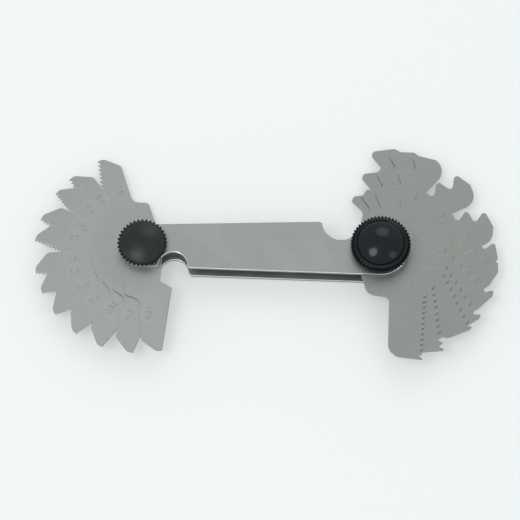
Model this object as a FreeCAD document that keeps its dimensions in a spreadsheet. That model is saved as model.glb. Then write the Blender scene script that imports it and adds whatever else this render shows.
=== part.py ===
import FreeCAD, Part
import math
import os
import Sketcher

# Thread pitch gauge: two flat plates carry a fan of toothed leaves on a clamped stud at each end.
# Millimetres. X runs from the fine stud to the coarse stud, Z is up, and the origin is the centre
# of the fine stud's head, on the face that the gauge rests on.

os.makedirs("parts", exist_ok=True)
doc = FreeCAD.newDocument("thread_pitch_gauge")
sheet = doc.addObject("Spreadsheet::Sheet", "sizes")

# One leaf for each thread pitch: label, pitch, how far it stands open from folded (degrees) and
# where its outermost crest lies along the leaf. Both stacks are listed from the top down.
LEAVES = {
    "fine": [
        ("leaf_0_25", 0.25, 263.5, 23.7), ("leaf_0_30", 0.30, 248.5, 23.7),
        ("leaf_0_35", 0.35, 232.3, 23.7), ("leaf_0_40", 0.40, 216.6, 23.7),
        ("leaf_0_45", 0.45, 201.3, 23.7), ("leaf_0_50", 0.50, 187.1, 23.7),
        ("leaf_0_60", 0.60, 175.3, 23.7), ("leaf_0_70", 0.70, 157.0, 23.7),
        ("leaf_0_75", 0.75, 144.9, 23.7), ("leaf_0_80", 0.80, 128.4, 23.7),
        ("leaf_0_90", 0.90, 117.3, 23.7), ("leaf_1_00", 1.00, 99.2, 23.7),
    ],
    "coarse": [
        ("leaf_1_25", 1.25, 86.5, 25.35), ("leaf_1_50", 1.50, 97.5, 25.2),
        ("leaf_1_75", 1.75, 114.8, 25.0), ("leaf_2_00", 2.00, 122.1, 24.8),
        ("leaf_2_50", 2.50, 135.8, 24.7), ("leaf_3_00", 3.00, 150.3, 24.1),
        ("leaf_3_50", 3.50, 159.8, 23.4), ("leaf_4_00", 4.00, 177.2, 23.1),
        ("leaf_4_50", 4.50, 202.2, 23.1), ("leaf_5_00", 5.00, 226.0, 22.5),
        ("leaf_5_50", 5.50, 238.6, 22.2), ("leaf_6_00", 6.00, 248.4, 22.3),
    ],
}

SIZES = {
    # handle plates
    "pivot_spacing": 54.0,
    "plate_thickness": 0.9,
    "fine_end_radius": 5.05,
    "coarse_end_radius": 6.5,
    "fine_notch_radius": 3.3,
    "fine_notch_reach": 7.0,
    "fine_notch_drop": 4.85,
    "coarse_notch_radius": 4.35,
    "coarse_notch_reach": 8.9,
    "coarse_notch_rise": 6.15,
    "notch_corner_radius": 0.8,
    # leaf stacks
    "leaf_thickness": 0.35,
    "leaf_air": 0.03,
    "leaves_in_stack": 12,
    # fine leaf blank, U along the toothed edge and V across it, from the pivot
    "fine_root_radius": 4.6,
    "fine_shoulder_u": 11.9,
    "fine_shoulder_v": -2.4,
    "fine_shoulder_radius": 0.8,
    "fine_hollow_u": 12.6,
    "fine_hollow_v": 1.15,
    "fine_hollow_radius": 2.0,
    "fine_heel_u": 21.9,
    "fine_heel_v": 2.75,
    "fine_heel_radius": 1.3,
    "fine_nose_u": 24.2,
    "fine_nose_v": 6.6,
    "fine_nose_radius": 1.6,
    "fine_tip_u": 23.85,
    "fine_tip_v": 8.0,
    "fine_tooth_start_u": 9.0,
    "fine_tooth_start_v": 8.0,
    "fine_step_foot_u": 7.8,
    "fine_step_foot_v": 5.1,
    "fine_step_foot_radius": 0.6,
    # coarse leaf blank
    "coarse_root_radius": 6.0,
    "coarse_shoulder_u": 11.0,
    "coarse_shoulder_v": -2.3,
    "coarse_shoulder_radius": 2.2,
    "coarse_hollow_u": 11.5,
    "coarse_hollow_v": 2.7,
    "coarse_hollow_radius": 1.2,
    "coarse_heel_u": 25.2,
    "coarse_heel_v": 3.3,
    "coarse_heel_radius": 3.1,
    "coarse_tip_u": 25.5,
    "coarse_tip_v": 11.0,
    "coarse_tooth_start_u": 9.6,
    "coarse_tooth_start_v": 11.0,
    "coarse_step_foot_u": 8.1,
    "coarse_step_foot_v": 7.5,
    "coarse_step_foot_radius": 1.5,
    # thread form: flats and rounding are shares of the pitch
    "thread_angle": 60.0,
    "fine_crest_share": 0.125,
    "fine_valley_share": 0.0,
    "coarse_crest_share": 0.2,
    "coarse_valley_share": 0.2,
    "tooth_round_share": 0.15,
    "rounded_from_pitch": 3.5,
    # how far past the metal the tooth cutters reach: a share of the pitch, and millimetres
    "groove_overrun_share": 0.1,
    "end_overrun": 1.0,
    # pivot studs, washers and the bushes in the knobs
    "stud_radius": 1.5,
    "turning_clearance": 0.05,
    "stud_head_radius": 3.6,
    "stud_head_height": 0.8,
    "stud_head_bevel": 0.3,
    "washer_radius": 3.9,
    "washer_thickness": 0.4,
    "seat_gap": 0.02,
    "bush_radius": 2.5,
    "bush_length": 1.8,
    "socket_headroom": 0.2,
    # knobs: band and rim are the heights where the knurled edge starts and stops leaning inwards
    "fine_knob_radius": 5.65,
    "fine_knob_band": 1.3,
    "fine_knob_rim_radius": 4.95,
    "fine_knob_rim": 1.6,
    "fine_knob_crown": 2.5,
    "fine_knob_dome_radius": 4.6,
    "fine_knob_knurls": 36,
    "coarse_knob_radius": 6.8,
    "coarse_knob_band": 1.95,
    "coarse_knob_rim_radius": 5.8,
    "coarse_knob_rim": 2.4,
    "coarse_knob_crown": 4.25,
    "coarse_knob_dome_radius": 5.1,
    "coarse_knob_knurls": 50,
    "knob_groove_depth": 0.3,
    "knurl_depth": 0.38,
    "knurl_mouth_share": 0.72,
}


# corners of each leaf outline in order, from the back of the root round to its toothed side
CORNERS = {
    "fine": ["shoulder", "hollow", "heel", "nose", "tip", "tooth_start", "step_foot"],
    "coarse": ["shoulder", "hollow", "heel", "tip", "tooth_start", "step_foot"],
}


def fill_sheet():
    for family in LEAVES.values():
        for label, pitch, opened, outer_crest in family:
            SIZES[label + "_pitch"] = pitch
            SIZES[label + "_open"] = opened
            SIZES[label + "_outer_crest"] = outer_crest
    for row, (name, value) in enumerate(SIZES.items(), start=1):
        sheet.set(f"A{row}", name)
        sheet.set(f"B{row}", str(value))
        sheet.setAlias(f"B{row}", name)
    doc.recompute()


def size(name):
    return SIZES[name]


def new_body(label):
    body = doc.addObject("PartDesign::Body", label)
    body.Label = label
    return body


def flat_sketch(body, name, role="XY_Plane"):
    plane = [feature for feature in body.Origin.OriginFeatures if feature.Role == role][0]
    sketch = body.newObject("Sketcher::SketchObject", name)
    sketch.AttachmentSupport = (plane, [""])
    sketch.MapMode = "FlatFace"
    return sketch


def point(x, y):
    return FreeCAD.Vector(x, y, 0)


def bind(sketch, constraint, name, expression):
    index = sketch.addConstraint(constraint)
    sketch.renameConstraint(index, name)
    sketch.setExpression(f"Constraints.{name}", expression)


def pin_vertex(sketch, edge, end, name, across, along):
    # across and along are expressions for the vertex's place from the sketch origin
    drawn = sketch.getPoint(edge, end)
    bind(sketch, Sketcher.Constraint("DistanceX", -1, 1, edge, end, drawn.x), name + "_x", across)
    bind(sketch, Sketcher.Constraint("DistanceY", -1, 1, edge, end, drawn.y), name + "_y", along)


def add_circle(sketch, name, x, y, radius, across, along, radius_expression):
    edge = sketch.addGeometry(Part.Circle(point(x, y), FreeCAD.Vector(0, 0, 1), radius))
    if across:
        pin_vertex(sketch, edge, 3, name, across, along)
    else:
        sketch.addConstraint(Sketcher.Constraint("Coincident", edge, 3, -1, 1))
    bind(sketch, Sketcher.Constraint("Radius", edge, radius), name + "_radius", radius_expression)
    return edge


def pad(body, sketch, length_expression, name="pad"):
    feature = body.newObject("PartDesign::Pad", name)
    feature.Profile = sketch
    feature.setExpression("Length", length_expression)
    sketch.Visibility = False
    return feature


def cut_through(body, sketch, name="cut"):
    feature = body.newObject("PartDesign::Pocket", name)
    feature.Profile = sketch
    feature.Type = "ThroughAll"
    feature.Reversed = True
    sketch.Visibility = False
    return feature


def upright_edges(shape, places):
    # names of the edges that stand along Z through the given (x, y) places
    names = []
    for number, edge in enumerate(shape.Edges, start=1):
        first = edge.Vertexes[0].Point
        last = edge.Vertexes[-1].Point
        upright = math.hypot(first.x - last.x, first.y - last.y) < 1e-6 and abs(first.z - last.z) > 1e-3
        if upright and any(math.hypot(first.x - x, first.y - y) < 1e-3 for x, y in places):
            names.append(f"Edge{number}")
    return names


def round_edges(body, base, places, radius_expression, name):
    doc.recompute()
    edges = upright_edges(base.Shape, places)
    if len(edges) != len(places):
        raise ValueError(f"{body.Label} {name}: {len(edges)} edges for {len(places)} places")
    feature = body.newObject("PartDesign::Fillet", name)
    feature.Base = (base, edges)
    feature.setExpression("Radius", radius_expression)
    return feature


def tangent_place(x, y, radius, side):
    # where the line from (x, y) touches a circle round the origin; side is +1 or -1
    angle = math.atan2(y, x) + side * math.acos(radius / math.hypot(x, y))
    return radius * math.cos(angle), radius * math.sin(angle)


# ---------------------------------------------------------------- handle plates

def slot_outline(sketch):
    # two end arcs joined by their common tangents
    spacing = size("pivot_spacing")
    small = size("fine_end_radius")
    large = size("coarse_end_radius")
    lean = math.acos((small - large) / spacing)
    up = FreeCAD.Vector(0, 0, 1)
    left = sketch.addGeometry(Part.ArcOfCircle(Part.Circle(point(0, 0), up, small), lean, -lean))
    right = sketch.addGeometry(
        Part.ArcOfCircle(Part.Circle(point(spacing, 0), up, large), -lean, lean))
    side = (math.cos(lean), math.sin(lean))
    top = sketch.addGeometry(Part.LineSegment(
        point(small * side[0], small * side[1]), point(spacing + large * side[0], large * side[1])))
    bottom = sketch.addGeometry(Part.LineSegment(
        point(small * side[0], -small * side[1]), point(spacing + large * side[0], -large * side[1])))
    sketch.addConstraint(Sketcher.Constraint("Coincident", left, 3, -1, 1))
    sketch.addConstraint(Sketcher.Constraint("PointOnObject", right, 3, -1))
    sketch.addConstraint(Sketcher.Constraint("Tangent", top, 1, left, 1))
    sketch.addConstraint(Sketcher.Constraint("Tangent", top, 2, right, 2))
    sketch.addConstraint(Sketcher.Constraint("Tangent", bottom, 1, left, 2))
    sketch.addConstraint(Sketcher.Constraint("Tangent", bottom, 2, right, 1))
    bind(sketch, Sketcher.Constraint("DistanceX", -1, 1, right, 3, spacing), "spacing",
         "sizes.pivot_spacing")
    bind(sketch, Sketcher.Constraint("Radius", left, small), "small_end", "sizes.fine_end_radius")
    bind(sketch, Sketcher.Constraint("Radius", right, large), "large_end", "sizes.coarse_end_radius")


def notch_corner(center_x, center_y, radius, rise_sign, side_sign):
    # where a notch circle crosses the plate's straight edge, on the side towards the middle
    spacing = size("pivot_spacing")
    small = size("fine_end_radius")
    large = size("coarse_end_radius")
    slope = math.asin((large - small) / spacing)
    normal = (-math.sin(slope), rise_sign * math.cos(slope))
    reach = small - (center_x * normal[0] + center_y * normal[1])
    run = math.sqrt(radius ** 2 - reach ** 2)
    along = (math.cos(slope), rise_sign * math.sin(slope))
    return (center_x + reach * normal[0] + side_sign * run * along[0],
            center_y + reach * normal[1] + side_sign * run * along[1])


def handle_plate(label, hole_expression, height_expression):
    body = new_body(label)
    outline = flat_sketch(body, label + "_outline")
    slot_outline(outline)
    pad(body, outline, "sizes.plate_thickness", label + "_blank")

    spacing = size("pivot_spacing")
    fine_x = size("fine_notch_reach")
    fine_y = -size("fine_notch_drop")
    coarse_x = spacing - size("coarse_notch_reach")
    coarse_y = size("coarse_notch_rise")
    notches = flat_sketch(body, label + "_notches")
    add_circle(notches, "fine_notch", fine_x, fine_y, size("fine_notch_radius"),
               "sizes.fine_notch_reach", "-sizes.fine_notch_drop", "sizes.fine_notch_radius")
    add_circle(notches, "coarse_notch", coarse_x, coarse_y, size("coarse_notch_radius"),
               "sizes.pivot_spacing - sizes.coarse_notch_reach", "sizes.coarse_notch_rise",
               "sizes.coarse_notch_radius")
    notched = cut_through(body, notches, label + "_notched")
    corners = [notch_corner(fine_x, fine_y, size("fine_notch_radius"), -1, 1),
               notch_corner(coarse_x, coarse_y, size("coarse_notch_radius"), 1, -1)]
    round_edges(body, notched, corners, "sizes.notch_corner_radius", label + "_rounded")

    holes = flat_sketch(body, label + "_holes")
    radius = size("stud_radius")
    add_circle(holes, "fine_hole", 0, 0, radius, None, None, hole_expression)
    add_circle(holes, "coarse_hole", spacing, 0, radius, "sizes.pivot_spacing", "0 mm", hole_expression)
    cut_through(body, holes, label + "_holes_cut")
    body.setExpression("Placement.Base.z", height_expression)
    return body


# ---------------------------------------------------------------- toothed leaves

def leaf_outline(sketch, family):
    # straight sides between the named corners, closed by the root arc round the pivot
    cells = [(f"{family}_{corner}_u", f"{family}_{corner}_v") for corner in CORNERS[family]]
    corners = [(size(across), size(along)) for across, along in cells]
    radius = size(f"{family}_root_radius")
    back = tangent_place(*corners[0], radius, -1)
    front = tangent_place(*corners[-1], radius, 1)
    stops = [back] + corners + [front]
    lines = []
    for start, stop in zip(stops, stops[1:]):
        lines.append(sketch.addGeometry(Part.LineSegment(point(*start), point(*stop))))
    for line, following in zip(lines, lines[1:]):
        sketch.addConstraint(Sketcher.Constraint("Coincident", line, 2, following, 1))
    circle = Part.Circle(point(0, 0), FreeCAD.Vector(0, 0, 1), radius)
    first = math.atan2(front[1], front[0])
    last = math.atan2(back[1], back[0]) + 2 * math.pi
    root = sketch.addGeometry(Part.ArcOfCircle(circle, first, last))
    sketch.addConstraint(Sketcher.Constraint("Coincident", root, 3, -1, 1))
    sketch.addConstraint(Sketcher.Constraint("Tangent", lines[-1], 2, root, 1))
    sketch.addConstraint(Sketcher.Constraint("Tangent", root, 2, lines[0], 1))
    bind(sketch, Sketcher.Constraint("Radius", root, radius), "root", f"sizes.{family}_root_radius")
    for line, corner, (across, along) in zip(lines, CORNERS[family], cells):
        pin_vertex(sketch, line, 2, corner, "sizes." + across, "sizes." + along)


def crown_arc(start, stop):
    # an arc centred on the upright axis, from its foot at start up to stop on the axis
    rise = stop[1] - start[1]
    radius = (start[0] ** 2 + rise ** 2) / (2 * rise)
    centre = point(0, stop[1] - radius)
    lean = math.acos(start[0] / radius)
    if start[1] < centre.y:
        lean = -lean
    return Part.ArcOfCircle(Part.Circle(centre, FreeCAD.Vector(0, 0, 1), radius), lean, math.pi / 2)


def closed_outline(sketch, corners, expressions, domed=None):
    # a polygon whose corners are pinned to the given pairs of expressions; the side that starts
    # at the domed corner, if any, is an arc centred on the upright axis
    sides = []
    for number, corner in enumerate(corners):
        following = corners[(number + 1) % len(corners)]
        if number == domed:
            sides.append(sketch.addGeometry(crown_arc(corner, following)))
            sketch.addConstraint(Sketcher.Constraint("PointOnObject", sides[-1], 3, -2))
        else:
            sides.append(sketch.addGeometry(Part.LineSegment(point(*corner), point(*following))))
    for number, side in enumerate(sides):
        following = sides[(number + 1) % len(sides)]
        sketch.addConstraint(Sketcher.Constraint("Coincident", side, 2, following, 1))
        pin_vertex(sketch, side, 1, f"corner_{number}", *expressions[number])


def tooth_groove(sketch, family, label):
    # one groove of the thread form, next to the outermost crest: mouth, two flanks and a floor
    pitch = size(label + "_pitch")
    line = size(f"{family}_tip_v")
    slope = math.tan(math.radians(size("thread_angle") / 2))
    mouth = pitch * (1 - size(f"{family}_crest_share")) / 2
    floor = pitch * size(f"{family}_valley_share") / 2
    depth = (mouth - floor) / slope
    above = pitch * size("groove_overrun_share")
    center = size(label + "_outer_crest") - pitch / 2

    cell = f"sizes.{label}_pitch"
    slope_cell = "tan(sizes.thread_angle * 0.5 * 1 deg)"
    middle = f"(sizes.{label}_outer_crest - {cell} / 2)"
    above_cell = f"{cell} * sizes.groove_overrun_share"
    mouth_cell = f"({cell} * (1 - sizes.{family}_crest_share) / 2 + {above_cell} * {slope_cell})"
    floor_cell = f"({cell} * sizes.{family}_valley_share / 2)"
    depth_cell = (f"({cell} * (1 - sizes.{family}_crest_share - sizes.{family}_valley_share)"
                  f" / 2 / {slope_cell})")
    top_cell = f"sizes.{family}_tip_v + {above_cell}"
    bottom_cell = f"sizes.{family}_tip_v - {depth_cell}"
    wide = mouth + above * slope
    corners = [(center + wide, line + above), (center - wide, line + above), (center - floor, line - depth)]
    expressions = [(f"{middle} + {mouth_cell}", top_cell), (f"{middle} - {mouth_cell}", top_cell),
                   (f"{middle} - {floor_cell}", bottom_cell)]
    if floor > 0:
        corners.append((center + floor, line - depth))
        expressions.append((f"{middle} + {floor_cell}", bottom_cell))
    closed_outline(sketch, corners, expressions)
    return [(center + side * mouth, line) for side in (-1, 1)] + [
        (center + side * floor, line - depth) for side in (-1, 1)]


def groove_count(family, label):
    room = size(label + "_outer_crest") - size(f"{family}_tooth_start_u")
    return int(room / size(label + "_pitch"))


def tip_flank(sketch, family, label):
    # the outer flank of the outermost crest, carried on until it leaves the end of the leaf
    line = size(f"{family}_tip_v")
    slope = math.tan(math.radians(size("thread_angle") / 2))
    edge = size(label + "_outer_crest") + size(label + "_pitch") * size(f"{family}_crest_share") / 2
    overrun = size("end_overrun")
    past = size(f"{family}_tip_u") + overrun
    drop = (past - edge) / slope
    edge_cell = f"(sizes.{label}_outer_crest + sizes.{label}_pitch * sizes.{family}_crest_share / 2)"
    past_cell = f"(sizes.{family}_tip_u + sizes.end_overrun)"
    drop_cell = f"(({past_cell} - {edge_cell}) / tan(sizes.thread_angle * 0.5 * 1 deg))"
    line_cell = f"sizes.{family}_tip_v"
    closed_outline(
        sketch,
        [(edge, line), (past, line - drop), (past, line + overrun), (edge, line + overrun)],
        [(edge_cell, line_cell), (past_cell, f"{line_cell} - {drop_cell}"),
         (past_cell, f"{line_cell} + sizes.end_overrun"), (edge_cell, f"{line_cell} + sizes.end_overrun")])
    return edge, line


def toothed_leaf(family, label, level):
    body = new_body(label)
    outline = flat_sketch(body, label + "_outline")
    leaf_outline(outline, family)
    feature = pad(body, outline, "sizes.leaf_thickness", label + "_blank")
    for corner in CORNERS[family]:
        radius_cell = f"{family}_{corner}_radius"
        if radius_cell in SIZES:
            place = (size(f"{family}_{corner}_u"), size(f"{family}_{corner}_v"))
            feature = round_edges(body, feature, [place], "sizes." + radius_cell, f"{label}_{corner}")

    hole = flat_sketch(body, label + "_hole")
    add_circle(hole, "pivot", 0, 0, size("stud_radius"), None, None,
               "sizes.stud_radius + sizes.turning_clearance")
    cut_through(body, hole, label + "_pivot_hole")

    rounded = []
    if family == "coarse":
        end = flat_sketch(body, label + "_end")
        rounded.append(tip_flank(end, family, label))
        cut_through(body, end, label + "_end_flank")

    groove = flat_sketch(body, label + "_groove")
    groove_corners = tooth_groove(groove, family, label)
    first = cut_through(body, groove, label + "_first_groove")
    count = groove_count(family, label)
    teeth = body.newObject("PartDesign::LinearPattern", label + "_teeth")
    teeth.Originals = [first]
    teeth.Direction = (groove, ["H_Axis"])
    teeth.Reversed = True
    teeth.Occurrences = count
    teeth.setExpression("Length", f"sizes.{label}_pitch * {count - 1}")
    body.Tip = teeth
    doc.recompute()
    if family == "coarse" and size(label + "_pitch") >= size("rounded_from_pitch"):
        for number in range(count):
            shift = number * size(label + "_pitch")
            rounded += [(x - shift, y) for x, y in groove_corners]
        round_edges(body, teeth, rounded, f"sizes.tooth_round_share * sizes.{label}_pitch",
                    label + "_tooth_rounding")

    turn = "sizes.{0}_open".format(label) + (" + 180" if family == "coarse" else "")
    body.setExpression("Placement.Rotation.Angle", f"({turn}) * 1 deg")
    if family == "coarse":
        body.setExpression("Placement.Base.x", "sizes.pivot_spacing")
    body.setExpression(
        "Placement.Base.z",
        "sizes.stud_head_height + sizes.plate_thickness + sizes.leaf_air"
        f" + {level} * (sizes.leaf_thickness + sizes.leaf_air)")
    return body


# ---------------------------------------------------------------- studs, washers, bushes and knobs

def evaluate(expression):
    value = sheet.evalExpression(expression.replace("sizes.", ""))
    return float(getattr(value, "Value", value))


def turned_body(label, cells, x_expression, z_expression, domed=None):
    # a half section, given as (radius, height) expressions, turned round Z
    body = new_body(label)
    section = flat_sketch(body, label + "_section", "XZ_Plane")
    corners = [(evaluate(across), evaluate(along)) for across, along in cells]
    closed_outline(section, corners, cells, domed)
    turned = body.newObject("PartDesign::Revolution", label + "_turned")
    turned.Profile = section
    turned.ReferenceAxis = (section, ["V_Axis"])
    turned.Angle = 360.0
    section.Visibility = False
    body.setExpression("Placement.Base.x", x_expression)
    body.setExpression("Placement.Base.z", z_expression)
    return body


def pivot_stud(label, x_expression):
    # a plain low head with a broken edge, pressed into the lower plate, and a shank up into the knob
    head = "sizes.stud_head_radius"
    height = "sizes.stud_head_height"
    shank = "sizes.stud_radius"
    bevel = "sizes.stud_head_bevel"
    top = f"({KNOB_SEAT} + sizes.bush_length)"
    cells = [("0", "0"), (f"{head} - {bevel}", "0"), (head, bevel), (head, height), (shank, height),
             (shank, top), ("0", top)]
    return turned_body(label, cells, x_expression, "0")


def flat_washer(label, x_expression):
    bore = "(sizes.stud_radius + 2 * sizes.turning_clearance)"
    rim = "sizes.washer_radius"
    thick = "sizes.washer_thickness"
    cells = [(bore, "0"), (rim, "0"), (rim, thick), (bore, thick)]
    return turned_body(label, cells, x_expression, f"{PLATE_TOP} + sizes.seat_gap")


def threaded_bush(label, x_expression):
    bore = "(sizes.stud_radius + sizes.turning_clearance)"
    cells = [(bore, "0"), ("sizes.bush_radius", "0"), ("sizes.bush_radius", "sizes.bush_length"),
             (bore, "sizes.bush_length")]
    return turned_body(label, cells, x_expression, KNOB_SEAT)


def knurled_knob(family, label, x_expression):
    # a knurled edge that leans in to its rim, a groove and a domed crown, hollow below for the bush
    knob = f"sizes.{family}_knob"
    dome = f"{knob}_dome_radius"
    groove_floor = f"{knob}_rim - sizes.knob_groove_depth"
    ceiling = "sizes.bush_length + sizes.socket_headroom"
    cells = [("sizes.bush_radius", "0"), (f"{knob}_radius", "0"), (f"{knob}_radius", f"{knob}_band"),
             (f"{knob}_rim_radius", f"{knob}_rim"), (dome, groove_floor), ("0", f"{knob}_crown"),
             ("0", ceiling), ("sizes.bush_radius", ceiling)]
    body = turned_body(label, cells, x_expression, KNOB_SEAT, domed=4)
    knurl(body, family, label)
    return body


def knurl(body, family, label):
    # one V notch down the edge, repeated all round
    count = int(size(f"{family}_knob_knurls"))
    edge = size(f"{family}_knob_radius")
    depth = size("knurl_depth")
    half = size("knurl_mouth_share") * math.pi * edge / count
    notch = flat_sketch(body, label + "_notch")
    edge_cell = f"sizes.{family}_knob_radius"
    half_cell = f"(sizes.knurl_mouth_share * pi * {edge_cell} / sizes.{family}_knob_knurls)"
    closed_outline(notch, [(edge - depth, 0), (edge + depth, -2 * half), (edge + depth, 2 * half)],
                   [(f"{edge_cell} - sizes.knurl_depth", "0"),
                    (f"{edge_cell} + sizes.knurl_depth", f"-2 * {half_cell}"),
                    (f"{edge_cell} + sizes.knurl_depth", f"2 * {half_cell}")])
    first = cut_through(body, notch, label + "_first_notch")
    ring = body.newObject("PartDesign::PolarPattern", label + "_knurl")
    ring.Originals = [first]
    ring.Axis = (notch, ["N_Axis"])
    ring.Angle = 360.0
    ring.Occurrences = count
    body.Tip = ring


# ---------------------------------------------------------------- the gauge

PLATE_BASE = "sizes.stud_head_height"
STACK_HEIGHT = ("(sizes.leaves_in_stack * (sizes.leaf_thickness + sizes.leaf_air)"
                " + sizes.leaf_air)")
UPPER_PLATE_BASE = f"({PLATE_BASE} + sizes.plate_thickness + {STACK_HEIGHT})"
PLATE_TOP = f"({UPPER_PLATE_BASE} + sizes.plate_thickness)"
KNOB_SEAT = f"({PLATE_TOP} + 2 * sizes.seat_gap + sizes.washer_thickness)"


def check_and_write(bodies):
    doc.recompute()
    for thing in doc.Objects:
        if "Invalid" in thing.State or "Error" in thing.State:
            raise ValueError(f"{thing.Label} did not build")
    for body in bodies:
        if body.Shape.isNull() or not body.Shape.isValid() or len(body.Shape.Solids) != 1:
            raise ValueError(f"{body.Label} is not one sound solid")
        body.Shape.exportStep(f"parts/{body.Label}.step")
        print(body.Label, round(body.Shape.Volume, 2))


def build():
    fill_sheet()
    bodies = [
        handle_plate("lower_plate", "sizes.stud_radius", PLATE_BASE),
        handle_plate("upper_plate", "sizes.stud_radius + 2 * sizes.turning_clearance", UPPER_PLATE_BASE),
    ]
    for family, leaves in LEAVES.items():
        for place, leaf in enumerate(leaves):
            level = size("leaves_in_stack") - 1 - place
            bodies.append(toothed_leaf(family, leaf[0], level))
    for family, x_expression in (("fine", "0"), ("coarse", "sizes.pivot_spacing")):
        bodies.append(pivot_stud(f"{family}_stud", x_expression))
        bodies.append(flat_washer(f"{family}_washer", x_expression))
        bodies.append(threaded_bush(f"{family}_knob_bush", x_expression))
        bodies.append(knurled_knob(family, f"{family}_knob", x_expression))
    check_and_write(bodies)


build()
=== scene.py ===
import math

import bmesh
import bpy
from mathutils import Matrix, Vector


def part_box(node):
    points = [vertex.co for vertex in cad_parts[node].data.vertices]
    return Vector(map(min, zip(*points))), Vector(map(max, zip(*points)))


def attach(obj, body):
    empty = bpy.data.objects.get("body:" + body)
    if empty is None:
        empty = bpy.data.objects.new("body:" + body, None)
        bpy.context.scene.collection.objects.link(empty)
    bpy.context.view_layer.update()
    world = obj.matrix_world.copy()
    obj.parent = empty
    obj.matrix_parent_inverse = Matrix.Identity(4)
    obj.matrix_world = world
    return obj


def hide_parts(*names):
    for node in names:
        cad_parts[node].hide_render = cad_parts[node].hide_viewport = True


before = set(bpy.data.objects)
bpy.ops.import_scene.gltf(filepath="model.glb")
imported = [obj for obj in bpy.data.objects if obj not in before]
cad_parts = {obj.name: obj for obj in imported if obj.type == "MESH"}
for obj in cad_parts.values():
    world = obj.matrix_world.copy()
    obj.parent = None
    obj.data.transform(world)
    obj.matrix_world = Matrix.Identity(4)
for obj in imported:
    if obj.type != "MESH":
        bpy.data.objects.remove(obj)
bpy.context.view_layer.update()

# Thread pitch gauge: ground steel leaves and plates with broken, rubbed edges, knurled moulded
# knobs with domed caps, and a pale studio floor. Lengths are in millimetres times MM.

MM = 0.001

# broken edges: their width on the plates, and on the leaves a share of the pitch up to a limit
PLATE_BREAK = 0.09 * MM
LEAF_BREAK_SHARE = 0.04
LEAF_BREAK_LIMIT = 0.03
# an edge that turns by more than the first is broken, and by less than the second is no edge
SHARP_TURN = math.radians(60)
FACET_TURN = math.radians(0.3)
# corners of a solid, and of a number, that are closer than these are one
SAME_PLACE = 0.0005 * MM
SAME_PLACE_TEXT = 0.0002 * MM
# how upright the normal of a flat face is at least, and that of a wall at most
FLAT_UPRIGHT = 0.999
WALL_UPRIGHT = 0.2
# faces that meet at less than this are shaded as one
SHEET_SMOOTH = math.radians(35)
KNOB_SMOOTH = math.radians(38)
# the flat map of a sheet spans this many millimetres
MAP_SPAN = 100
# the material slots of a sheet piece
FACE_SLOT, EDGE_SLOT, WALL_SLOT = range(3)

# etched numbers: from the pivot along and across the leaf, height of the type, and the skin's
# thickness and lift off the leaf
NUMBER_ALONG = 17.2 * MM
NUMBER_ACROSS = 3.7 * MM
NUMBER_SIZE = 1.9 * MM
NUMBER_SKIN = 0.0015 * MM
NUMBER_LIFT = 0.002 * MM

# knobs: knurls round the edge, the corners a ring has for each, and which of them are valleys
FINE_KNURLS = 36
COARSE_KNURLS = 50
CORNERS_PER_KNURL = 4
VALLEY_CORNERS = (2, 3)
# domes: the crown's height over the knob's foot, the rings up to it, and the radius of the last
# ring, which is gathered to the pole
FINE_CROWN = 2.5 * MM
COARSE_CROWN = 4.2 * MM
FINE_DOME_RINGS = 12
COARSE_DOME_RINGS = 14
POLE_RADIUS = 0.02 * MM

# noise lies mostly between these
NOISE_LOW = 0.3
NOISE_HIGH = 0.7

# the stage: the floor's width in metres, how strongly its card glows, and the sky
FLOOR_SIZE = 4.0
CARD_COLOUR = (0.487, 0.504, 0.499)
CARD_GLOW = 0.70
SKY_COLOUR = (0.97, 1.0, 0.985, 1)
SKY_STRENGTH = 0.88
# name, place in metres, width in metres, power in watts, colour
LAMPS = [
    ("Back softbox", (0.10, 0.42, 0.40), 0.30, 0.35, (1, 1, 1)),
    ("Front left window", (-0.123, -0.103, 0.47), 0.19, 0.50, (0.93, 1.0, 1.0)),
    ("Front right window", (0.34, -0.148, 0.40), 0.16, 0.10, (1, 1, 1)),
]
# the camera's place, its turns in degrees, and its lens and sensor in millimetres
CAMERA_PLACE = (48.887 * MM, -189.103 * MM, 541.241 * MM)
CAMERA_TURNS = (19.2136, 1.9220, 1.2967)
CAMERA_LENS = 173.08
CAMERA_SENSOR = 36

# leaf, the number etched on it, and how many degrees it stands open from folded. Both stacks are
# listed from the top down.
FINE_LEAVES = [
    ("leaf_0_25", "0.25", 263.5), ("leaf_0_30", "0.3", 248.5), ("leaf_0_35", "0.35", 232.3),
    ("leaf_0_40", "0.4", 216.6), ("leaf_0_45", "0.45", 201.3), ("leaf_0_50", "0.5", 187.1),
    ("leaf_0_60", "0.6", 175.3), ("leaf_0_70", "0.7", 157.0), ("leaf_0_75", "0.75", 144.9),
    ("leaf_0_80", "0.8", 128.4), ("leaf_0_90", "0.9", 117.3), ("leaf_1_00", "1.0", 99.2),
]
COARSE_LEAVES = [
    ("leaf_1_25", "1.25", 86.5), ("leaf_1_50", "1.5", 97.5), ("leaf_1_75", "1.75", 114.8),
    ("leaf_2_00", "2.0", 122.1), ("leaf_2_50", "2.5", 135.8), ("leaf_3_00", "3.0", 150.3),
    ("leaf_3_50", "3.5", 159.8), ("leaf_4_00", "4.0", 177.2), ("leaf_4_50", "4.5", 202.2),
    ("leaf_5_00", "5.0", 226.0), ("leaf_5_50", "5.5", 238.6), ("leaf_6_00", "6.0", 248.4),
]


def middle_of(node):
    """The middle of a node's box."""
    low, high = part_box(node)
    return (low + high) / 2


FINE_PIVOT = middle_of("fine_stud")
COARSE_PIVOT = middle_of("coarse_stud")
KNOB_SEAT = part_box("fine_knob")[0].z


# ---------------------------------------------------------------- shader helpers

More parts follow.
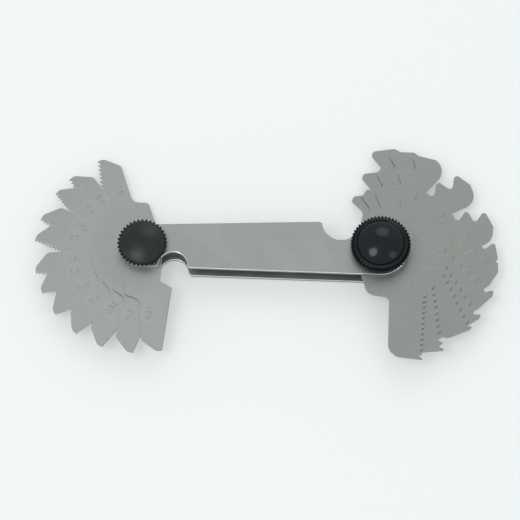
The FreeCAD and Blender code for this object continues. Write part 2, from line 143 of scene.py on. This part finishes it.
def fill(node, values):
    """Sets or links a node's inputs, named or numbered."""
    for key, value in values.items():
        socket = node.inputs[key]
        if isinstance(value, bpy.types.NodeSocket):
            node.id_data.links.new(value, socket)
        else:
            socket.default_value = value


def add_node(tree, kind, values=None, **settings):
    """A new shader node, with its settings made and its inputs filled."""
    node = tree.nodes.new(kind)
    for key, value in settings.items():
        setattr(node, key, value)
    fill(node, values or {})
    return node


def new_group(name, takes, gives):
    """An empty node group with the named sockets, and its two end nodes."""
    tree = bpy.data.node_groups.new(name, "ShaderNodeTree")
    for label, kind, default in takes:
        socket = tree.interface.new_socket(label, in_out="INPUT", socket_type=kind)
        if default is not None:
            socket.default_value = default
    for label, kind in gives:
        tree.interface.new_socket(label, in_out="OUTPUT", socket_type=kind)
    return tree, tree.nodes.new("NodeGroupInput"), tree.nodes.new("NodeGroupOutput")


def place_group(tree, group, values):
    """A node group placed in a tree, with its inputs filled."""
    node = tree.nodes.new("ShaderNodeGroup")
    node.node_tree = group
    fill(node, values)
    return node


def new_material(name):
    """A material, its node tree and its Principled shader."""
    material = bpy.data.materials.new(name)
    material.use_nodes = True
    tree = material.node_tree
    shader = tree.nodes["Principled BSDF"]
    return material, tree, shader


def millimetres(tree, vector):
    """A place in metres, as one in millimetres."""
    return add_node(tree, "ShaderNodeVectorMath", {0: vector, 1: (1000, 1000, 1000)},
                    operation="MULTIPLY").outputs["Vector"]


def object_place(tree):
    """Where a point of the piece is, in millimetres."""
    coords = add_node(tree, "ShaderNodeTexCoord")
    return millimetres(tree, coords.outputs["Object"])


def remap(tree, value, low, high, to_low, to_high):
    """The value carried from one range to another, and held at its ends."""
    node = add_node(tree, "ShaderNodeMapRange", {"Value": value, "From Min": low, "From Max": high,
                                                "To Min": to_low, "To Max": to_high})
    return node.outputs["Result"]


def spread(tree, noise, to_low, to_high):
    """Noise, carried to a range of its own."""
    return remap(tree, noise, NOISE_LOW, NOISE_HIGH, to_low, to_high)


def tint(tree, colour, level):
    """The colour made lighter or darker by the level."""
    return add_node(tree, "ShaderNodeVectorMath", {0: colour, "Scale": level},
                    operation="SCALE").outputs[0]


def distance_out(tree, place):
    """How far a place lies from the upright axis through the origin."""
    flat = add_node(tree, "ShaderNodeVectorMath", {0: place, 1: (1, 1, 0)}, operation="MULTIPLY")
    return add_node(tree, "ShaderNodeVectorMath", {0: flat.outputs[0]},
                    operation="LENGTH").outputs["Value"]


# ---------------------------------------------------------------- shared effects

def make_grain():
    """Fine grinding lines along one direction: a mask and a height."""
    tree, start, end = new_group(
        "Grinding grain",
        [("Place", "NodeSocketVector", None), ("Fineness", "NodeSocketFloat", 1.0),
         ("Stretch", "NodeSocketFloat", 0.05)],
        [("Mask", "NodeSocketFloat"), ("Height", "NodeSocketFloat")])
    across = add_node(tree, "ShaderNodeCombineXYZ",
                      {"X": start.outputs["Stretch"], "Y": 1.0, "Z": 1.0})
    drawn = add_node(tree, "ShaderNodeVectorMath", {0: start.outputs["Place"], 1: across.outputs[0]},
                     operation="MULTIPLY")
    fine = add_node(tree, "ShaderNodeVectorMath",
                    {0: drawn.outputs[0], "Scale": start.outputs["Fineness"]}, operation="SCALE")
    lines = add_node(tree, "ShaderNodeTexNoise",
                     {"Vector": fine.outputs[0], "Scale": 6.0, "Detail": 5.0, "Roughness": 0.7})
    wide = add_node(tree, "ShaderNodeTexNoise",
                    {"Vector": fine.outputs[0], "Scale": 1.3, "Detail": 2.0, "Roughness": 0.5})
    both = add_node(tree, "ShaderNodeMath", {0: lines.outputs["Fac"], 1: wide.outputs["Fac"]},
                    operation="ADD")
    half = add_node(tree, "ShaderNodeMath", {0: both.outputs[0], 1: 0.5}, operation="MULTIPLY")
    fill(end, {"Mask": half.outputs[0], "Height": lines.outputs["Fac"]})
    return tree


def make_handling():
    """Soft blotches from handling."""
    tree, start, end = new_group(
        "Handling marks",
        [("Place", "NodeSocketVector", None), ("Blotch Size", "NodeSocketFloat", 6.0)],
        [("Blotches", "NodeSocketFloat")])
    rate = add_node(tree, "ShaderNodeMath", {0: 1.0, 1: start.outputs["Blotch Size"]},
                    operation="DIVIDE")
    cloud = add_node(tree, "ShaderNodeTexNoise",
                     {"Vector": start.outputs["Place"], "Scale": rate.outputs[0], "Detail": 3.0,
                      "Roughness": 0.55, "Distortion": 0.6})
    fill(end, {"Blotches": cloud.outputs["Fac"]})
    return tree


def make_turning():
    """Concentric tool marks round an upright axis through the origin of its place."""
    tree, start, end = new_group(
        "Turning marks",
        [("Place", "NodeSocketVector", None), ("Feed", "NodeSocketFloat", 0.12)],
        [("Mask", "NodeSocketFloat")])
    out = distance_out(tree, start.outputs["Place"])
    rings = add_node(tree, "ShaderNodeMath", {0: out, 1: start.outputs["Feed"]},
                     operation="DIVIDE")
    noise = add_node(tree, "ShaderNodeTexNoise", {"W": rings.outputs[0], "Scale": 1.0, "Detail": 3.0},
                     noise_dimensions="1D")
    fill(end, {"Mask": noise.outputs["Fac"]})
    return tree


GRAIN = make_grain()
HANDLING = make_handling()
TURNING = make_turning()


# ---------------------------------------------------------------- finishes

def ground_steel(name, colour, roughness, fineness):
    """Satin ground sheet: grain follows the piece's own flat map."""
    material, tree, shader = new_material(name)
    flat = add_node(tree, "ShaderNodeUVMap", uv_map="along")
    place = add_node(tree, "ShaderNodeVectorMath", {0: flat.outputs["UV"], 1: (MAP_SPAN, MAP_SPAN, 1)},
                     operation="MULTIPLY").outputs[0]
    grain = place_group(tree, GRAIN, {"Place": place, "Fineness": fineness, "Stretch": 0.06})
    marks = place_group(tree, HANDLING, {"Place": place, "Blotch Size": 7.0})
    tone = spread(tree, grain.outputs["Mask"], 0.965, 1.035)
    cloud = spread(tree, marks.outputs["Blotches"], 0.97, 1.03)
    level = add_node(tree, "ShaderNodeMath", {0: tone, 1: cloud}, operation="MULTIPLY")
    tinted = tint(tree, colour, level.outputs[0])
    rough = spread(tree, marks.outputs["Blotches"], roughness - 0.03, roughness + 0.04)
    bump = add_node(tree, "ShaderNodeBump",
                    {"Height": grain.outputs["Height"], "Strength": 0.12, "Distance": 0.00002})
    fill(shader, {"Base Color": tinted, "Metallic": 1.0, "Roughness": rough,
                  "Normal": bump.outputs["Normal"]})
    return material


def edge_steel(name, colour, roughness):
    """The broken edge or the wall of a sheet, with worn patches."""
    material, tree, shader = new_material(name)
    place = object_place(tree)
    marks = place_group(tree, HANDLING, {"Place": place, "Blotch Size": 2.0})
    level = spread(tree, marks.outputs["Blotches"], 0.8, 1.15)
    tinted = tint(tree, colour, level)
    rough = spread(tree, marks.outputs["Blotches"], roughness + 0.08, roughness - 0.06)
    fill(shader, {"Base Color": tinted, "Metallic": 1.0, "Roughness": rough})
    return material


def turned_metal(name, colour, roughness, pivot):
    """Lathe-turned metal with its tool marks round the pivot."""
    material, tree, shader = new_material(name)
    coords = add_node(tree, "ShaderNodeTexCoord")
    centred = add_node(tree, "ShaderNodeMapping",
                       {"Vector": coords.outputs["Object"], "Location": (-pivot.x, -pivot.y, 0)})
    place = millimetres(tree, centred.outputs["Vector"])
    rings = place_group(tree, TURNING, {"Place": place, "Feed": 0.1})
    marks = place_group(tree, HANDLING, {"Place": place, "Blotch Size": 2.5})
    level = spread(tree, rings.outputs["Mask"], 0.88, 1.08)
    tinted = tint(tree, colour, level)
    rough = spread(tree, marks.outputs["Blotches"], roughness - 0.05, roughness + 0.08)
    bump = add_node(tree, "ShaderNodeBump",
                    {"Height": rings.outputs["Mask"], "Strength": 0.25, "Distance": 0.00003})
    fill(shader, {"Base Color": tinted, "Metallic": 1.0, "Roughness": rough,
                  "Normal": bump.outputs["Normal"]})
    return material


def moulded_plastic(name, colour, roughness, gloss, pivot, smooth, tips):
    """Black moulded plastic with a faint skin, rubbed on the tips of its knurls and dull between
    them. In millimetres, the knurls start at the radius smooth and end at the radius tips."""
    material, tree, shader = new_material(name)
    place = object_place(tree)
    marks = place_group(tree, HANDLING, {"Place": place, "Blotch Size": 1.6})
    skin = add_node(tree, "ShaderNodeTexNoise", {"Vector": place, "Scale": 5.0, "Detail": 2.0})
    level = spread(tree, marks.outputs["Blotches"], 0.8, 1.25)
    tinted = tint(tree, colour, level)
    rough = spread(tree, marks.outputs["Blotches"], roughness - 0.04, roughness + 0.07)
    bump = add_node(tree, "ShaderNodeBump",
                    {"Height": skin.outputs["Fac"], "Strength": 0.1, "Distance": 0.00002})
    centred = add_node(tree, "ShaderNodeVectorMath",
                       {0: place, 1: (pivot.x / MM, pivot.y / MM, 0)}, operation="SUBTRACT")
    out = distance_out(tree, centred.outputs[0])
    rubbed = remap(tree, out, tips - 0.25, tips, 0.3, 1.9)
    knurled = remap(tree, out, smooth, smooth + 0.1, 0.0, 1.0)
    shine = add_node(tree, "ShaderNodeMix", {"Factor": knurled, "A": 1.0, "B": rubbed})
    shine = add_node(tree, "ShaderNodeMath", {0: shine.outputs["Result"], 1: gloss},
                     operation="MULTIPLY")
    fill(shader, {"Base Color": tinted, "Roughness": rough,
                  "Specular IOR Level": shine.outputs[0], "Normal": bump.outputs["Normal"]})
    return material


def etched_mark(name, colour):
    """Steel dulled by etching, a little worn."""
    material, tree, shader = new_material(name)
    place = object_place(tree)
    worn = add_node(tree, "ShaderNodeTexNoise", {"Vector": place, "Scale": 3.0, "Detail": 4.0})
    level = remap(tree, worn.outputs["Fac"], 0.35, 0.65, 0.75, 1.5)
    tinted = tint(tree, colour, level)
    fill(shader, {"Base Color": tinted, "Metallic": 1.0, "Roughness": 0.7})
    return material


HANDLE_STEEL = ground_steel("Handle ground steel", (0.308, 0.322, 0.317), 0.42, 1.0)
FINE_STEEL = ground_steel("Fine leaf ground steel", (0.317, 0.331, 0.317), 0.42, 1.2)
COARSE_STEEL = ground_steel("Coarse leaf ground steel", (0.262, 0.281, 0.265), 0.42, 1.1)
PLATE_EDGE = edge_steel("Rubbed plate edge", (0.85, 0.87, 0.86), 0.22)
LEAF_EDGE = edge_steel("Leaf edge steel", (0.56, 0.58, 0.57), 0.30)
# the leaf walls: near-black steel that is painted shade, for the shadow and dark neighbours their
# upright faces see
PAINTED_SHADE_LEAF_WALL = edge_steel("Leaf wall painted shade", (0.085, 0.09, 0.088), 0.5)
FINE_TURNED = turned_metal("Fine stud turned steel", (0.50, 0.51, 0.50), 0.32, FINE_PIVOT)
COARSE_TURNED = turned_metal("Coarse stud turned steel", (0.50, 0.51, 0.50), 0.32, COARSE_PIVOT)
FINE_BRASS = turned_metal("Fine bush turned brass", (0.62, 0.44, 0.18), 0.3, FINE_PIVOT)
COARSE_BRASS = turned_metal("Coarse bush turned brass", (0.62, 0.44, 0.18), 0.3, COARSE_PIVOT)
FINE_PLASTIC = moulded_plastic("Low knob black plastic", (0.0065, 0.0120, 0.0125), 0.32, 0.30,
                               FINE_PIVOT, 5.1, 5.65)
COARSE_PLASTIC = moulded_plastic("Domed knob black plastic", (0.0020, 0.0050, 0.0066), 0.14, 0.24,
                                 COARSE_PIVOT, 6.05, 6.8)
ETCHED = etched_mark("Etched number grey", (0.27, 0.285, 0.275))


# ---------------------------------------------------------------- mesh helpers

def deselect_all():
    for thing in bpy.context.selected_objects:
        thing.select_set(False)


def make_active(piece):
    """Selects one piece and nothing else."""
    deselect_all()
    piece.select_set(True)
    bpy.context.view_layer.objects.active = piece


def edit_mode():
    """Edit mode on the active piece, with all its corners selected."""
    bpy.ops.object.mode_set(mode="EDIT")
    bpy.ops.mesh.select_mode(type="VERT")
    bpy.ops.mesh.select_all(action="SELECT")


def object_mode():
    bpy.ops.object.mode_set(mode="OBJECT")


def select_sharp_edges(piece, angle):
    """Selects the edges that turn by more than the angle."""
    mesh = bmesh.from_edit_mesh(piece.data)
    for edge in mesh.edges:
        sharp = len(edge.link_faces) == 2 and edge.calc_face_angle(0) > angle
        edge.select_set(sharp)
    bmesh.update_edit_mesh(piece.data)


def map_along(piece, pivot, turn):
    """A flat map with its first axis along the piece, so that the grain follows it."""
    layer = piece.data.uv_layers.new(name="along")
    cosine, sine = math.cos(turn), math.sin(turn)
    for loop in piece.data.loops:
        place = piece.data.vertices[loop.vertex_index].co - pivot
        along = place.x * cosine + place.y * sine
        across = place.y * cosine - place.x * sine
        layer.data[loop.index].uv = (along / (MAP_SPAN * MM) + 0.5, across / (MAP_SPAN * MM) + 0.5)


def broken_edges(name, node, body, finishes, width, pivot, turn):
    """A flat steel piece with its edges broken, in place of its plain solid. The finishes are
    those of its faces, its broken edges and its walls; on the leaves the walls' one is a painted
    shade."""
    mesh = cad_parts[node].data.copy()
    piece = bpy.data.objects.new(name, mesh)
    bpy.context.scene.collection.objects.link(piece)
    make_active(piece)
    mesh.materials.clear()
    for finish in finishes:
        mesh.materials.append(finish)
    bpy.ops.mesh.customdata_custom_splitnormals_clear()
    edit_mode()
    bpy.ops.mesh.remove_doubles(threshold=SAME_PLACE)
    bpy.ops.mesh.dissolve_limited(angle_limit=FACET_TURN)
    bpy.ops.mesh.select_mode(type="EDGE")
    bpy.ops.mesh.select_all(action="DESELECT")
    select_sharp_edges(piece, SHARP_TURN)
    bpy.ops.mesh.bevel(offset=width, segments=2, affect="EDGES", clamp_overlap=False,
                       material=EDGE_SLOT)
    object_mode()
    bpy.ops.object.shade_smooth_by_angle(angle=SHEET_SMOOTH)
    for polygon in mesh.polygons:
        if abs(polygon.normal.z) > FLAT_UPRIGHT:
            polygon.material_index = FACE_SLOT
            polygon.use_smooth = False
        elif abs(polygon.normal.z) < WALL_UPRIGHT:
            polygon.material_index = WALL_SLOT
    map_along(piece, pivot, turn)
    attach(piece, body)
    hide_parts(node)


# ---------------------------------------------------------------- plates and leaves

def sheet_metal():
    """The two plates, and the leaves with their numbers, ground along their own length."""
    for node in ("lower_plate", "upper_plate"):
        broken_edges(node + "_ground", node, "handle",
                     (HANDLE_STEEL, PLATE_EDGE, HANDLE_STEEL), PLATE_BREAK, FINE_PIVOT, 0)
    for leaves, pivot, face, slot, folded in (
            (FINE_LEAVES, FINE_PIVOT, FINE_STEEL, "fine_leaf_steel", 0),
            (COARSE_LEAVES, COARSE_PIVOT, COARSE_STEEL, "coarse_leaf_steel", 180)):
        for node, number, opened in leaves:
            width = min(LEAF_BREAK_LIMIT, LEAF_BREAK_SHARE * float(number)) * MM
            turn = math.radians(opened + folded)
            # the third finish, that of the leaf walls, is painted shade
            broken_edges(node + "_ground", node, node, (face, LEAF_EDGE, PAINTED_SHADE_LEAF_WALL), width,
                         pivot, turn)
            etched_number(node, number, pivot, turn)


def etched_number(node, number, pivot, turn):
    """The pitch, etched near the leaf's tip: a skin of dulled metal on its upper face."""
    deselect_all()
    cosine, sine = math.cos(turn), math.sin(turn)
    place = Vector((pivot.x + NUMBER_ALONG * cosine - NUMBER_ACROSS * sine,
                    pivot.y + NUMBER_ALONG * sine + NUMBER_ACROSS * cosine,
                    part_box(node)[1].z + NUMBER_LIFT))
    bpy.ops.object.text_add(location=place, rotation=(0, 0, turn + math.pi))
    text = bpy.context.object
    text.name = node + "_number"
    text.data.body = number
    text.data.size = NUMBER_SIZE
    text.data.align_x = "LEFT"
    text.data.align_y = "CENTER"
    text.data.extrude = NUMBER_SKIN
    bpy.ops.object.convert(target="MESH")
    bpy.ops.object.transform_apply(location=True, rotation=True, scale=True)
    mark = bpy.context.object
    mark.data.materials.clear()
    mark.data.materials.append(ETCHED)
    edit_mode()
    bpy.ops.mesh.remove_doubles(threshold=SAME_PLACE_TEXT)
    bpy.ops.mesh.normals_make_consistent(inside=False)
    object_mode()
    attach(mark, node)


# ---------------------------------------------------------------- knobs

def selected_corners(piece):
    """The numbers of the corners that are selected."""
    mesh = bmesh.from_edit_mesh(piece.data)
    return [corner.index for corner in mesh.verts if corner.select]


def select_corners(piece, numbers):
    """Selects these corners and the edges between them, and nothing else."""
    mesh = bmesh.from_edit_mesh(piece.data)
    mesh.verts.ensure_lookup_table()
    for corner in mesh.verts:
        corner.select = False
    for edge in mesh.edges:
        edge.select = False
    for face in mesh.faces:
        face.select = False
    chosen = set(numbers)
    for number in numbers:
        mesh.verts[number].select = True
    for edge in mesh.edges:
        if edge.verts[0].index in chosen and edge.verts[1].index in chosen:
            edge.select = True
    mesh.select_flush_mode()
    bmesh.update_edit_mesh(piece.data)


def in_valley(piece, numbers, pivot, step):
    """Of a ring's corners, those in the valleys between knurls."""
    mesh = bmesh.from_edit_mesh(piece.data)
    mesh.verts.ensure_lookup_table()
    found = []
    for number in numbers:
        place = mesh.verts[number].co
        turn = math.atan2(place.y - pivot.y, place.x - pivot.x)
        if round(turn / step) % CORNERS_PER_KNURL in VALLEY_CORNERS:
            found.append(number)
    return found


def lathe_rings(name, pivot, base, profile, knurls):
    """Rings drawn up one after another: (radius, height, valley depth), from the socket's
    ceiling round to the crown. Both ends are gathered to a point."""
    count = CORNERS_PER_KNURL * knurls
    step = 2 * math.pi / count
    deselect_all()
    first_radius, height = profile[0][:2]
    bpy.ops.mesh.primitive_circle_add(
        vertices=count, radius=first_radius, fill_type="TRIFAN",
        location=(pivot.x, pivot.y, base + height))
    piece = bpy.context.object
    piece.name = name
    bpy.ops.object.transform_apply(location=True, rotation=True, scale=True)
    bpy.ops.object.mode_set(mode="EDIT")
    bpy.ops.mesh.select_mode(type="VERT")
    mesh = bmesh.from_edit_mesh(piece.data)
    ring = [corner.index for corner in mesh.verts
            if math.hypot(corner.co.x - pivot.x, corner.co.y - pivot.y) > first_radius / 2]
    centre = Vector((pivot.x, pivot.y, base))
    for radius, next_height, depth in profile[1:]:
        select_corners(piece, ring)
        bpy.ops.mesh.extrude_edges_move(
            TRANSFORM_OT_translate={"value": (0, 0, next_height - height)})
        ring = selected_corners(piece)
        even_out(piece, ring, pivot, radius)
        if depth > 0:
            share = 1 - depth / radius
            select_corners(piece, in_valley(piece, ring, pivot, step))
            bpy.ops.transform.resize(value=(share, share, 1), center_override=centre)
        height = next_height
    select_corners(piece, ring)
    bpy.ops.mesh.merge(type="CENTER")
    bpy.ops.mesh.select_all(action="SELECT")
    bpy.ops.mesh.normals_make_consistent(inside=False)
    object_mode()
    return piece


def even_out(piece, ring, pivot, radius):
    """Puts a ring's corners back on one circle, whatever valleys it was drawn from."""
    mesh = bmesh.from_edit_mesh(piece.data)
    mesh.verts.ensure_lookup_table()
    for number in ring:
        corner = mesh.verts[number]
        turn = math.atan2(corner.co.y - pivot.y, corner.co.x - pivot.x)
        corner.co.x = pivot.x + radius * math.cos(turn)
        corner.co.y = pivot.y + radius * math.sin(turn)
    bmesh.update_edit_mesh(piece.data)


def dome(last_ring, crown, steps):
    """Rings up a spherical cap from the last ring of a profile, up to its pole."""
    radius, base = last_ring[:2]
    rise = crown - base
    sphere = (radius * radius + rise * rise) / (2 * rise)
    half = math.asin(radius / sphere)
    rings = []
    for number in range(1, steps):
        lean = half * (1 - number / steps)
        rings.append((sphere * math.sin(lean), crown - sphere + sphere * math.cos(lean), 0))
    rings.append((POLE_RADIUS, crown, 0))
    return rings


def in_mm(rings):
    """Rings written in millimetres, as ones in metres."""
    return [(radius * MM, height * MM, depth * MM) for radius, height, depth in rings]


def coarse_knob():
    """Socket, undercut skirt, knurled band, rim, groove and a high dome."""
    profile = in_mm([
        (2.55, 2.0, 0), (2.55, 0.06, 0), (2.65, 0, 0), (5.9, 0, 0), (6.15, 0.05, 0),
        (6.5, 0.2, 0.3), (6.7, 0.45, 0.46), (6.79, 0.8, 0.46), (6.8, 1.0, 0.42), (6.8, 1.9, 0.42),
        (6.7, 2.08, 0.5), (6.4, 2.24, 0.5), (6.1, 2.36, 0.28), (5.9, 2.42, 0),
        (5.7, 2.46, 0), (5.5, 2.45, 0), (5.38, 2.38, 0), (5.28, 2.3, 0), (5.18, 2.3, 0),
        (5.12, 2.38, 0), (5.1, 2.5, 0), (5.08, 2.62, 0), (5.0, 2.78, 0)])
    profile += dome(profile[-1], COARSE_CROWN, COARSE_DOME_RINGS)
    piece = lathe_rings("coarse_knob_moulding", COARSE_PIVOT, KNOB_SEAT, profile, COARSE_KNURLS)
    finish_knob(piece, "coarse_knob", COARSE_PLASTIC)


def fine_knob():
    """Socket, undercut skirt, knurled band, rim and a low dome."""
    profile = in_mm([
        (2.55, 2.0, 0), (2.55, 0.06, 0), (2.65, 0, 0), (4.75, 0, 0), (4.95, 0.05, 0),
        (5.4, 0.25, 0.3), (5.58, 0.5, 0.44), (5.64, 0.8, 0.46), (5.65, 0.9, 0.46), (5.65, 1.25, 0.44),
        (5.58, 1.38, 0.46), (5.35, 1.49, 0.42), (5.12, 1.57, 0.22), (4.98, 1.6, 0),
        (4.82, 1.6, 0), (4.74, 1.57, 0), (4.64, 1.57, 0), (4.5, 1.64, 0)])
    profile += dome(profile[-1], FINE_CROWN, FINE_DOME_RINGS)
    piece = lathe_rings("fine_knob_moulding", FINE_PIVOT, KNOB_SEAT, profile, FINE_KNURLS)
    finish_knob(piece, "fine_knob", FINE_PLASTIC)


def finish_knob(piece, node, plastic):
    """The moulding, shaded smooth between its creases, in place of the knob's plain solid."""
    piece.data.materials.append(plastic)
    make_active(piece)
    bpy.ops.object.shade_smooth_by_angle(angle=KNOB_SMOOTH)
    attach(piece, node)
    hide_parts(node)


# ---------------------------------------------------------------- studs, washers and bushes

def keep_with(node, finish):
    """A solid that stays as it is, with its finish."""
    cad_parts[node].material_slots[0].material = finish


def small_metal():
    """The studs and washers of turned steel and the bushes of turned brass, at both ends."""
    for end, steel, brass in (("fine", FINE_TURNED, FINE_BRASS),
                              ("coarse", COARSE_TURNED, COARSE_BRASS)):
        keep_with(end + "_stud", steel)
        keep_with(end + "_washer", steel)
        keep_with(end + "_knob_bush", brass)


# ---------------------------------------------------------------- stage, light and camera

def pale_card(name, colour, glow):
    """Card that glows a little, so that shadows on it stay light."""
    material, tree, shader = new_material(name)
    place = object_place(tree)
    fibre = add_node(tree, "ShaderNodeTexNoise", {"Vector": place, "Scale": 1.5, "Detail": 4.0})
    level = spread(tree, fibre.outputs["Fac"], 0.995, 1.005)
    tinted = tint(tree, colour, level)
    fill(shader, {"Base Color": tinted, "Roughness": 0.9, "Specular IOR Level": 0.1,
                  "Emission Color": tinted, "Emission Strength": glow})
    return material


def lay_floor():
    """A pale card under the gauge, at the height of the stud heads' undersides."""
    deselect_all()
    bpy.ops.mesh.primitive_plane_add(size=FLOOR_SIZE, location=(COARSE_PIVOT.x / 2, 0, 0))
    floor = bpy.context.object
    floor.name = "pale_floor"
    bpy.ops.object.transform_apply(location=True, rotation=True, scale=True)
    floor.data.materials.append(pale_card("Pale card", CARD_COLOUR, CARD_GLOW))


def set_sky():
    """Even light from all round."""
    world = bpy.data.worlds.new("Studio")
    world.use_nodes = True
    fill(world.node_tree.nodes["Background"], {"Color": SKY_COLOUR, "Strength": SKY_STRENGTH})
    bpy.context.scene.world = world


def light_it():
    """Round softboxes, all turned to the middle of the handle."""
    aim = Vector((COARSE_PIVOT.x / 2, 0, 5 * MM))
    for name, place, width, power, colour in LAMPS:
        data = bpy.data.lights.new(name, "AREA")
        data.shape = "DISK"
        data.size = width
        data.energy = power
        data.color = colour
        lamp = bpy.data.objects.new(name, data)
        lamp.location = place
        lamp.rotation_euler = (aim - Vector(place)).to_track_quat("-Z", "Y").to_euler()
        bpy.context.scene.collection.objects.link(lamp)


def set_camera():
    """A long lens, well above the gauge and a little in front of it."""
    data = bpy.data.cameras.new("Camera")
    data.sensor_width = CAMERA_SENSOR
    data.lens = CAMERA_LENS
    camera = bpy.data.objects.new("Camera", data)
    camera.location = CAMERA_PLACE
    camera.rotation_euler = [math.radians(turn) for turn in CAMERA_TURNS]
    bpy.context.scene.collection.objects.link(camera)
    bpy.context.scene.camera = camera


sheet_metal()
coarse_knob()
fine_knob()
small_metal()
lay_floor()
set_sky()
light_it()
set_camera()
bpy.context.scene.view_settings.view_transform = "Standard"
